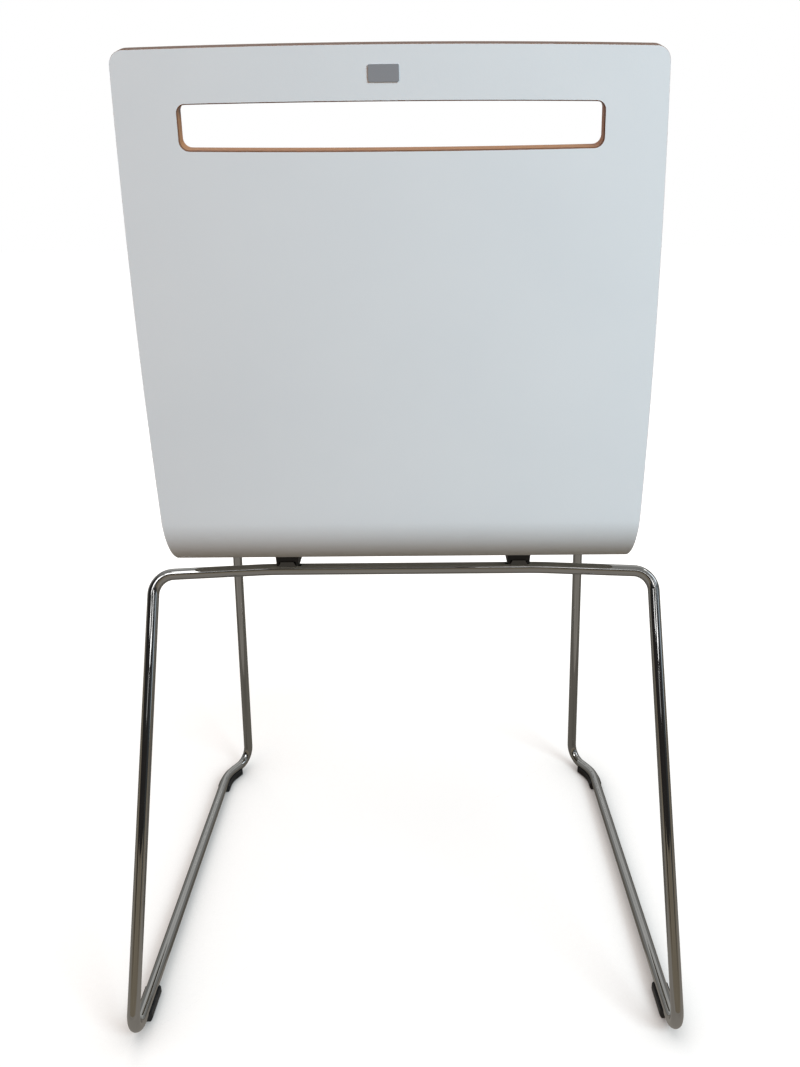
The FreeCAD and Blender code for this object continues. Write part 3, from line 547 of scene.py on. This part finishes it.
def white_laminate(colours):
    """High pressure laminate, pressed on a matt caul: white with the faintest clouding, and a fine pearl texture
    that breaks up reflections."""
    material, tree = new_material("white_pressed_laminate")
    place = add_node(tree, "TexCoord").outputs["Object"]
    cloud = add_node(tree, "TexNoise", {"Vector": place, "Scale": 1 / (90 * MM), "Detail": 3.0})
    paint = add_node(tree, "Mix", {0: cloud.outputs[0], 6: linear(colours.laminate), 7: linear(colours.laminate_shade)},
                     data_type="RGBA")
    pearl = add_node(tree, "TexNoise", {"Vector": place, "Scale": 1 / (1.6 * MM), "Detail": 2.0})
    rough = add_node(tree, "MapRange", {"Value": cloud.outputs[0], "To Min": 0.36, "To Max": 0.46})
    bump = add_node(tree, "Bump", {"Height": pearl.outputs[0], "Strength": 0.05, "Distance": 0.0004})
    shader = add_node(tree, "BsdfPrincipled", {"Base Color": paint.outputs[2], "Roughness": rough.outputs[0],
                                              "IOR": 1.5, "Normal": bump.outputs[0]})
    add_node(tree, "OutputMaterial", {"Surface": shader.outputs[0]})
    return material


def laminate_rim(colours):
    """Cut edge of the laminate: brown kraft paper set in resin, sanded and a little darker where the resin shows."""
    material, tree = new_material("sanded_kraft_laminate_edge")
    place = add_node(tree, "TexCoord").outputs["Object"]
    resin = add_node(tree, "TexNoise", {"Vector": place, "Scale": 1 / (4 * MM), "Detail": 4.0})
    paint = add_node(tree, "Mix", {0: resin.outputs[0], 6: linear(colours.kraft), 7: linear(colours.resin)},
                     data_type="RGBA")
    shader = add_node(tree, "BsdfPrincipled", {"Base Color": paint.outputs[2], "Roughness": 0.5, "IOR": 1.5})
    add_node(tree, "OutputMaterial", {"Surface": shader.outputs[0]})
    return material


def plywood_edge(colours, veneer):
    """Sanded and lacquered beech plywood edge: veneers turn about light along the grain and dark across it, with thin
    glue lines between, and a painted shade darkens the edge along the shell's top."""
    material, tree = new_material("lacquered_beech_ply_edge")
    place = add_node(tree, "TexCoord").outputs["Object"]
    depth = add_node(tree, "Attribute", attribute_name="depth").outputs["Fac"]
    waver = add_node(tree, "TexNoise", {"Vector": place, "Scale": 1 / (30 * MM), "Detail": 2.0})
    count = add_node(tree, "Math", {0: depth, 1: veneer}, operation="DIVIDE")
    drift = add_node(tree, "Math", {0: waver.outputs[0], 1: 0.3, 2: count.outputs[0]}, operation="MULTIPLY_ADD")
    turns = add_node(tree, "Math", {0: drift.outputs[0], 1: 1.0}, operation="PINGPONG")
    cross = add_node(tree, "Math", {0: drift.outputs[0], 1: 2.0}, operation="FLOORED_MODULO")
    kind = add_node(tree, "Math", {0: cross.outputs[0], 1: 1.0}, operation="GREATER_THAN")
    part = add_node(tree, "Math", {0: drift.outputs[0], 1: 1.0}, operation="FLOORED_MODULO")
    near = add_node(tree, "Math", {0: part.outputs[0], 1: 0.5}, operation="SUBTRACT")
    far = add_node(tree, "Math", {0: near.outputs[0]}, operation="ABSOLUTE")
    line = add_node(tree, "MapRange", {"Value": far.outputs[0], "From Min": 0.40, "From Max": 0.48})
    grain = add_node(tree, "TexNoise", {"Vector": place, "Scale": 1 / (1.2 * MM), "Detail": 3.0})
    wood = add_node(tree, "Mix", {0: kind.outputs[0], 6: linear(colours.ply_light), 7: linear(colours.ply_dark)},
                    data_type="RGBA")
    fleck = add_node(tree, "MapRange", {"Value": grain.outputs[0], "From Min": 0.3, "From Max": 0.7, "To Min": 0.82,
                                        "To Max": 1.12})
    tinted = add_node(tree, "Mix", {0: 1.0, 6: wood.outputs[2], 7: fleck.outputs[0]}, data_type="RGBA",
                      blend_type="MULTIPLY")
    edge = add_node(tree, "Mix", {0: line.outputs[0], 6: tinted.outputs[2], 7: linear(colours.glue)}, data_type="RGBA")
    # Heights between which the painted shade along the top edge grows to its full share
    low, high, top_shade_depth = 830 * MM, 850 * MM, 0.8
    height = add_node(tree, "SeparateXYZ", {"Vector": place}).outputs["Z"]
    top_shade_share = add_node(tree, "MapRange", {"Value": height, "From Min": low, "From Max": high, "To Max": top_shade_depth})
    top_shaded = add_node(tree, "Mix", {0: top_shade_share.outputs[0], 6: edge.outputs[2], 7: linear(colours.painted_top_shade)}, data_type="RGBA")
    bump = add_node(tree, "Bump", {"Height": turns.outputs[0], "Strength": 0.2, "Distance": 0.0001})
    shader = add_node(tree, "BsdfPrincipled", {"Base Color": top_shaded.outputs[2], "Roughness": 0.42, "IOR": 1.5,
                                              "Normal": bump.outputs[0]})
    add_node(tree, "OutputMaterial", {"Surface": shader.outputs[0]})
    return material


def chrome_rod(colours):
    """Bright nickel and chrome plate on drawn steel rod: a mirror drawn out along the rod by faint die lines, with a
    little haze where hands and shoes rub it."""
    material, tree = new_material("bright_chrome_on_drawn_rod")
    laid = add_node(tree, "Attribute", attribute_name="laid").outputs["Vector"]
    # Die lines are drawn 1.8 mm wide and 120 mm long, so that they show at this size
    lines = add_node(tree, "Mapping", {"Vector": laid, "Scale": (1 / (1.8 * MM), 1 / (1.8 * MM), 1 / (120 * MM))})
    die = add_node(tree, "TexNoise", {"Vector": lines.outputs[0], "Scale": 1.0, "Detail": 2.0})
    haze = add_node(tree, "TexNoise", {"Vector": laid, "Scale": 1 / (30 * MM), "Detail": 4.0})
    rough = add_node(tree, "MapRange", {"Value": haze.outputs[0], "From Min": 0.35, "From Max": 0.7, "To Min": 0.03,
                                        "To Max": 0.09})
    bump = add_node(tree, "Bump", {"Height": die.outputs[0], "Strength": 0.14, "Distance": 0.00015})
    shader = add_node(tree, "BsdfPrincipled", {"Base Color": linear(colours.chrome), "Metallic": 1.0,
                                              "Roughness": rough.outputs[0], "Normal": bump.outputs[0]})
    add_node(tree, "OutputMaterial", {"Surface": shader.outputs[0]})
    return material


def chrome_plate(colours):
    """Nickel and chrome plate on stamped steel: a dark mirror, dulled by the heat of the weld."""
    material, tree = new_material("dull_chrome_plate")
    place = add_node(tree, "TexCoord").outputs["Object"]
    haze = add_node(tree, "TexNoise", {"Vector": place, "Scale": 1 / (20 * MM), "Detail": 4.0})
    rough = add_node(tree, "MapRange", {"Value": haze.outputs[0], "From Min": 0.35, "From Max": 0.7, "To Min": 0.12,
                                        "To Max": 0.3})
    shader = add_node(tree, "BsdfPrincipled", {"Base Color": linear(colours.tab), "Metallic": 1.0,
                                              "Roughness": rough.outputs[0]})
    add_node(tree, "OutputMaterial", {"Surface": shader.outputs[0]})
    return material


def black_nylon(colours):
    """Moulded black nylon with a spark-eroded grain that holds a little dust."""
    material, tree = new_material("moulded_black_nylon")
    place = add_node(tree, "TexCoord").outputs["Object"]
    grain = add_node(tree, "TexNoise", {"Vector": place, "Scale": 1 / (0.8 * MM), "Detail": 3.0})
    dust = add_node(tree, "TexNoise", {"Vector": place, "Scale": 1 / (6 * MM), "Detail": 5.0})
    held = add_node(tree, "MapRange", {"Value": dust.outputs[0], "From Min": 0.5, "From Max": 0.8, "To Max": 0.5})
    paint = add_node(tree, "Mix", {0: held.outputs[0], 6: linear(colours.nylon), 7: linear(colours.nylon_dust)},
                     data_type="RGBA")
    bump = add_node(tree, "Bump", {"Height": grain.outputs[0], "Strength": 0.3, "Distance": 0.0002})
    shader = add_node(tree, "BsdfPrincipled", {"Base Color": paint.outputs[2], "Roughness": 0.5, "IOR": 1.53,
                                              "Normal": bump.outputs[0]})
    add_node(tree, "OutputMaterial", {"Surface": shader.outputs[0]})
    return material


def zinc_plate(colours):
    """Bright zinc plated steel with the mottle of the bath."""
    material, tree = new_material("zinc_plated_steel")
    place = add_node(tree, "TexCoord").outputs["Object"]
    mottle = add_node(tree, "TexNoise", {"Vector": place, "Scale": 1 / (3 * MM), "Detail": 4.0})
    rough = add_node(tree, "MapRange", {"Value": mottle.outputs[0], "To Min": 0.22, "To Max": 0.48})
    shader = add_node(tree, "BsdfPrincipled", {"Base Color": linear(colours.zinc), "Metallic": 1.0,
                                              "Roughness": rough.outputs[0]})
    add_node(tree, "OutputMaterial", {"Surface": shader.outputs[0]})
    return material


def satin_plate(colours):
    """Satin anodised aluminium plate, blasted to a fine grain."""
    material, tree = new_material("satin_anodised_plate")
    place = add_node(tree, "TexCoord").outputs["Object"]
    blast = add_node(tree, "TexNoise", {"Vector": place, "Scale": 1 / (0.5 * MM), "Detail": 2.0})
    bump = add_node(tree, "Bump", {"Height": blast.outputs[0], "Strength": 0.2, "Distance": 0.0001})
    shader = add_node(tree, "BsdfPrincipled", {"Base Color": linear(colours.plate), "Metallic": 0.6, "Roughness": 0.45,
                                              "Normal": bump.outputs[0]})
    add_node(tree, "OutputMaterial", {"Surface": shader.outputs[0]})
    return material


# Operators
class SLEDCHAIR_OT_shell(bpy.types.Operator):
    """Build the plywood core and its two laminates"""
    bl_idname = "sled_chair.shell"
    bl_label = "Shell"

    def execute(self, context):
        chair = context.scene.sled_chair
        s = chair.shell
        form = ShellForm(s, chair.frame)
        white = white_laminate(chair.finishes)
        kraft = laminate_rim(chair.finishes)
        wood = plywood_edge(chair.finishes, s.veneer)
        rear, face = s.laminate, s.laminate + s.core
        outer = eased(0.0, 1, s.eased_edge) + [(rear, 0.0)]
        inner = [(face, 0.0)] + eased(face + s.laminate, -1, s.eased_edge)[::-1]
        layers = {
            "outer_laminate": (outer, white, "white_laminate"),
            "shell_core": ([(rear, 0.0), (face, 0.0)], wood, "plywood_edge"),
            "inner_laminate": (inner, white, "white_laminate"),
        }
        for node, (levels, material, slot) in layers.items():
            points, faces, depths, rims = form.layer(levels)
            piece, used = new_piece("dressed_" + node, points, faces, material)
            if material == white:
                piece.data.materials.append(kraft)
                piece.data.polygons.foreach_set("material_index", rims.astype(np.int32))
            else:
                layer = piece.data.attributes.new("depth", "FLOAT", "POINT")
                layer.data.foreach_set("value", depths[used].astype(np.float32))
            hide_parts(node)
        return {"FINISHED"}


class SLEDCHAIR_OT_rod_frame(bpy.types.Operator):
    """Build the two halves of the bent rod frame and finish its tabs"""
    bl_idname = "sled_chair.rod_frame"
    bl_label = "Rod frame"

    def execute(self, context):
        chair = context.scene.sled_chair
        rod = chair.frame
        drawn = chrome_rod(chair.finishes)
        bends = [rod.kink_bend, rod.top_bend, rod.heel_bend, rod.jog_bend, rod.toe_bend, rod.top_bend, rod.kink_bend]
        way = split_runs(rounded_way(rod_points(rod), bends), ROD_STEP)
        points, faces, laid = tube(way, rod.rod / 2)
        for side, flip in (("left", 1), ("right", -1)):
            turned = faces[:, ::-1] if flip > 0 else faces
            piece, used = new_piece("dressed_frame_rod_" + side, points * [flip, 1, 1], turned, drawn)
            layer = piece.data.attributes.new("laid", "FLOAT_VECTOR", "POINT")
            layer.data.foreach_set("vector", laid[used].astype(np.float32).ravel())
            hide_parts("frame_rod_" + side)
        put_on([n for n in frame["nodes"] if n.startswith("mount_tab")], chrome_plate(chair.finishes))
        return {"FINISHED"}


class SLEDCHAIR_OT_fittings(bpy.types.Operator):
    """Finish the spacers, glides, screws, tee nuts and plate"""
    bl_idname = "sled_chair.fittings"
    bl_label = "Fittings"

    def execute(self, context):
        colours = context.scene.sled_chair.finishes
        kinds = {
            ("mount_spacer", "glide"): black_nylon(colours),
            ("mount_screw", "tee_nut"): zinc_plate(colours),
            ("blank_plate",): satin_plate(colours),
        }
        for starts, material in kinds.items():
            put_on([n for n in frame["nodes"] if n.startswith(starts)], material)
        return {"FINISHED"}


class SLEDCHAIR_OT_stage(bpy.types.Operator):
    """Set the floor, the light and the camera"""
    bl_idname = "sled_chair.stage"
    bl_label = "Stage"

    def execute(self, context):
        scene = context.scene
        stage = scene.sled_chair.stage
        scene.view_settings.view_transform = "Standard"
        self.add_floor(scene, stage)
        self.add_world(scene)
        self.add_lamps(scene)
        self.add_room(scene)
        self.add_camera(scene, stage)
        return {"FINISHED"}

    def seen(self, tree):
        """One for rays from the eye, from a mirror or through glass, and zero for rays that carry light."""
        path = add_node(tree, "LightPath").outputs
        mirror = add_node(tree, "Math", {0: path["Is Camera Ray"], 1: path["Is Glossy Ray"]}, operation="MAXIMUM")
        glass = add_node(tree, "Math", {0: mirror.outputs[0], 1: path["Is Transmission Ray"]}, operation="MAXIMUM")
        return glass.outputs[0]

    def add_panels(self, scene, name, panels):
        """Stage object of flat four-cornered panels, each with its own material."""
        mesh = bpy.data.meshes.new(name)
        corners = np.concatenate([points for points, _ in panels]).tolist()
        mesh.from_pydata(corners, [], np.arange(len(corners)).reshape(-1, 4).tolist())
        for _, material in panels:
            mesh.materials.append(material)
        mesh.polygons.foreach_set("material_index", np.arange(len(panels), dtype=np.int32))
        holder = bpy.data.objects.new(name, mesh)
        scene.collection.objects.link(holder)
        return holder

    def add_floor(self, scene, stage):
        """White paper floor: shown white with the chair's shadow on it, and duller to the light that it throws back."""
        material, tree = new_material("white_paper_floor")
        place = add_node(tree, "TexCoord").outputs["Object"]
        far = add_node(tree, "VectorMath", {0: place}, operation="LENGTH").outputs["Value"]
        # The floor's own light grows to full white between these distances from the chair's middle
        dim, full = 0.45, 1.1
        level = add_node(tree, "MapRange", {"Value": far, "From Min": dim, "From Max": full, "To Max": 1.0,
                                            "To Min": stage.floor_glow})
        # Light from all around, less of it where the chair's feet stand in the way
        open_sky = add_node(tree, "AmbientOcclusion", {"Distance": stage.contact_reach}).outputs["AO"]
        contact = add_node(tree, "Math", {0: open_sky, 1: stage.contact_depth}, operation="POWER")
        sky = add_node(tree, "Math", {0: level.outputs[0], 1: contact.outputs[0]}, operation="MULTIPLY")
        matt = add_node(tree, "BsdfDiffuse", {"Color": linear(stage.floor)})
        glow = add_node(tree, "Emission", {"Strength": sky.outputs[0]})
        lit = add_node(tree, "AddShader", {0: matt.outputs[0], 1: glow.outputs[0]})
        dull = add_node(tree, "BsdfDiffuse", {"Color": linear(stage.floor_bounce)})
        shown = add_node(tree, "MixShader", {0: self.seen(tree), 1: dull.outputs[0], 2: lit.outputs[0]})
        add_node(tree, "OutputMaterial", {"Surface": shown.outputs[0]})
        reach = 40.0
        square = np.array([[-1, -1, 0], [1, -1, 0], [1, 1, 0], [-1, 1, 0]]) * reach + [0, 0, FLOOR_LEVEL]
        self.add_panels(scene, "floor", [(square, material)])

    def add_world(self, scene):
        """White to the eye and to mirrors, and a dim even light on the chair."""
        world = bpy.data.worlds.new("studio")
        scene.world = world
        world.use_nodes = True
        tree = world.node_tree
        tree.nodes.clear()
        white = add_node(tree, "Background", {"Color": (1, 1, 1, 1), "Strength": 1.0})
        soft = add_node(tree, "Background", {"Color": (1, 1, 1, 1), "Strength": 0.2})
        both = add_node(tree, "MixShader", {0: self.seen(tree), 1: soft.outputs[0], 2: white.outputs[0]})
        add_node(tree, "OutputWorld", {"Surface": both.outputs[0]})

    def add_lamps(self, scene):
        """Soft boxes: a cool one at the right like a window, one overhead, one in front, and a faint warm one."""
        aim = Vector((0.0, 0.1, 0.6))
        # Place and size in metres, power in watts, tint
        lamps = {
            "window_side": ((-1.8, 1.8, 1.95), 1.2, 122.0, "#D4EEFF"),
            "ceiling": ((0.1, -0.1, 2.9), 2.4, 32.0, "#FFFFFF"),
            "front": ((0.9, -2.6, 1.9), 1.6, 43.0, "#FFFFFF"),
            "warm_room": ((1.5, 2.2, 1.4), 1.6, 15.0, "#FFB27A"),
        }
        for name, (place, size, power, tint) in lamps.items():
            lamp = bpy.data.lights.new(name, "AREA")
            lamp.shape = "SQUARE"
            lamp.size = size
            lamp.energy = power
            lamp.color = linear(tint)[:3]
            holder = bpy.data.objects.new(name, lamp)
            holder.location = place
            holder.rotation_euler = (aim - Vector(place)).to_track_quat("-Z", "Y").to_euler()
            holder.visible_glossy = False
            scene.collection.objects.link(holder)

    def add_room(self, scene):
        """The dim room that the chrome mirrors: flags and light panels that only reflections see."""
        side, back, far, top = 2.3, 3.2, -4.5, 2.6
        # Heights where the side and back walls turn dark, and places where floor, walls and ceiling change their tint
        rail, dado, floor_join, wall_join, ceiling_join = 0.5, 1.25, 0.15, -0.4, -0.9
        # Lights stand proud of the surface that holds them
        proud = 20 * MM
        ground, lamps, strips, window = FLOOR_LEVEL + 0.4 * MM, top - proud, back - proud, -side + proud

        def panel(a, b, c, d, tint, strength=1.0):
            """Glowing panel, uneven by two fifths of its strength."""
            material, tree = new_material("reflected_panel")
            place = add_node(tree, "TexCoord").outputs["Object"]
            uneven = add_node(tree, "TexNoise", {"Vector": place, "Scale": 1 / (350 * MM), "Detail": 3.0})
            level = add_node(tree, "MapRange", {"Value": uneven.outputs[0], "To Min": 0.6 * strength,
                                                "To Max": 1.4 * strength})
            glow = add_node(tree, "Emission", {"Color": linear(tint), "Strength": level.outputs[0]})
            add_node(tree, "OutputMaterial", {"Surface": glow.outputs[0]})
            return np.array([a, b, c, d]), material

        def wall(x, y0, y1, z0, z1, tint, strength=1.0):
            return panel((x, y0, z0), (x, y1, z0), (x, y1, z1), (x, y0, z1), tint, strength)

        def sheet(x0, x1, y0, y1, z, tint, strength=1.0):
            return panel((x0, y0, z), (x1, y0, z), (x1, y1, z), (x0, y1, z), tint, strength)

        def end(x0, x1, z0, z1, tint, strength=1.0, y=back):
            return panel((x0, y, z0), (x1, y, z0), (x1, y, z1), (x0, y, z1), tint, strength)

        panels = [
            # Floor, ceiling and end walls
            sheet(-side, side, far, floor_join, ground, "#6C6861"),
            sheet(-side, side, floor_join, back, ground, "#8E8982"),
            sheet(-side, side, far, ceiling_join, top, "#BABAB8"),
            sheet(-side, side, ceiling_join, back, top, "#8E8E8C"),
            end(-side, side, ground, top, "#A5A5A3", 1.0, far),
            end(-side, side, ground, dado, "#7E7566"),
            end(-side, side, dado, top, "#2E2C2B"),
            # Panes at the right
            wall(window, -0.5, 0.5, 1.2, 2.55, "#DDE6EE", 2.0),
            wall(window, 0.3, 1.0, 0.55, 1.2, "#B9C6D0", 1.0),
            wall(window, 1.3, 2.2, 1.9, 2.4, "#E6EEF5", 1.5),
        ]
        for x, shade in ((side, "#2B2928"), (-side, "#3A3D3F")):
            panels.append(wall(x, far, wall_join, ground, top, "#868684"))
            panels.append(wall(x, wall_join, back, ground, rail, "#7E7566"))
            panels.append(wall(x, wall_join, back, rail, top, shade))
        # Strips high on the wall behind the chair and lamps under the ceiling, each with its spread and strength
        strip_lights = ((-0.2, 0.6, 1.9, 2.15, 0.4), (-0.8, -0.3, 2.2, 2.4, 3.0), (-1.5, -0.8, 2.3, 2.58, 2.0),
                        (0.9, 1.7, 2.4, 2.58, 2.2))
        ceiling_lamps = ((0.85, 1.1, 0.6, 1.7, 2.2), (1.5, 1.95, 1.9, 3.0, 3.0), (0.1, 0.35, -0.9, -0.4, 3.0),
                         (-1.1, -0.7, 2.4, 3.1, 2.0), (0.55, 1.45, 1.8, 2.6, 5.5), (-2.25, -1.9, -0.8, -0.1, 3.0))
        panels += [end(*spread, "#FFFFFF", strength, strips) for *spread, strength in strip_lights]
        panels += [sheet(*spread, lamps, "#FFFFFF", strength) for *spread, strength in ceiling_lamps]
        room = self.add_panels(scene, "mirrored_room", panels)
        room.visible_camera = False
        room.visible_diffuse = False
        room.visible_shadow = False
        room.visible_transmission = False

    def add_camera(self, scene, stage):
        """Right, up and back axes from the heading, pitch and roll make the camera's turn."""
        level = math.cos(stage.pitch)
        ahead = Vector((math.sin(stage.heading) * level, math.cos(stage.heading) * level, -math.sin(stage.pitch)))
        right = ahead.cross(Vector((0, 0, 1))).normalized()
        up = right.cross(ahead)
        turned = right * math.cos(stage.roll) + up * math.sin(stage.roll)
        upright = up * math.cos(stage.roll) - right * math.sin(stage.roll)
        lens = bpy.data.cameras.new("camera")
        lens.sensor_fit = "VERTICAL"
        lens.sensor_height = 36.0
        lens.lens = stage.lens
        lens.shift_x, lens.shift_y = stage.shift
        camera = bpy.data.objects.new("camera", lens)
        axes = Matrix((turned, upright, -ahead)).transposed()
        camera.matrix_world = Matrix.Translation(stage.camera_place) @ axes.to_4x4()
        scene.collection.objects.link(camera)
        scene.camera = camera


class SLEDCHAIR_PT_parts(bpy.types.Panel):
    """Lists what builds the chair"""
    bl_idname = "SLEDCHAIR_PT_parts"
    bl_label = "Sled base chair"
    bl_space_type = "VIEW_3D"
    bl_region_type = "UI"
    bl_category = "Chair"

    def draw(self, context):
        for operator in OPERATORS:
            self.layout.operator(operator.bl_idname)
        chair = context.scene.sled_chair
        for group in (chair.shell, chair.frame, chair.finishes, chair.stage):
            box = self.layout.box()
            for name in group.bl_rna.properties.keys():
                if name not in ("rna_type", "name"):
                    box.prop(group, name)


OPERATORS = (SLEDCHAIR_OT_shell, SLEDCHAIR_OT_rod_frame, SLEDCHAIR_OT_fittings, SLEDCHAIR_OT_stage)
CLASSES = (ChairShell, ChairFrame, ChairFinishes, ChairStage, ChairSettings, *OPERATORS, SLEDCHAIR_PT_parts)


def register():
    for cls in CLASSES:
        bpy.utils.register_class(cls)
    bpy.types.Scene.sled_chair = PointerProperty(type=ChairSettings)


def unregister():
    del bpy.types.Scene.sled_chair
    for cls in reversed(CLASSES):
        bpy.utils.unregister_class(cls)


def main():
    register()
    bpy.ops.sled_chair.shell()
    bpy.ops.sled_chair.rod_frame()
    bpy.ops.sled_chair.fittings()
    bpy.ops.sled_chair.stage()


if __name__ == "__main__":
    main()
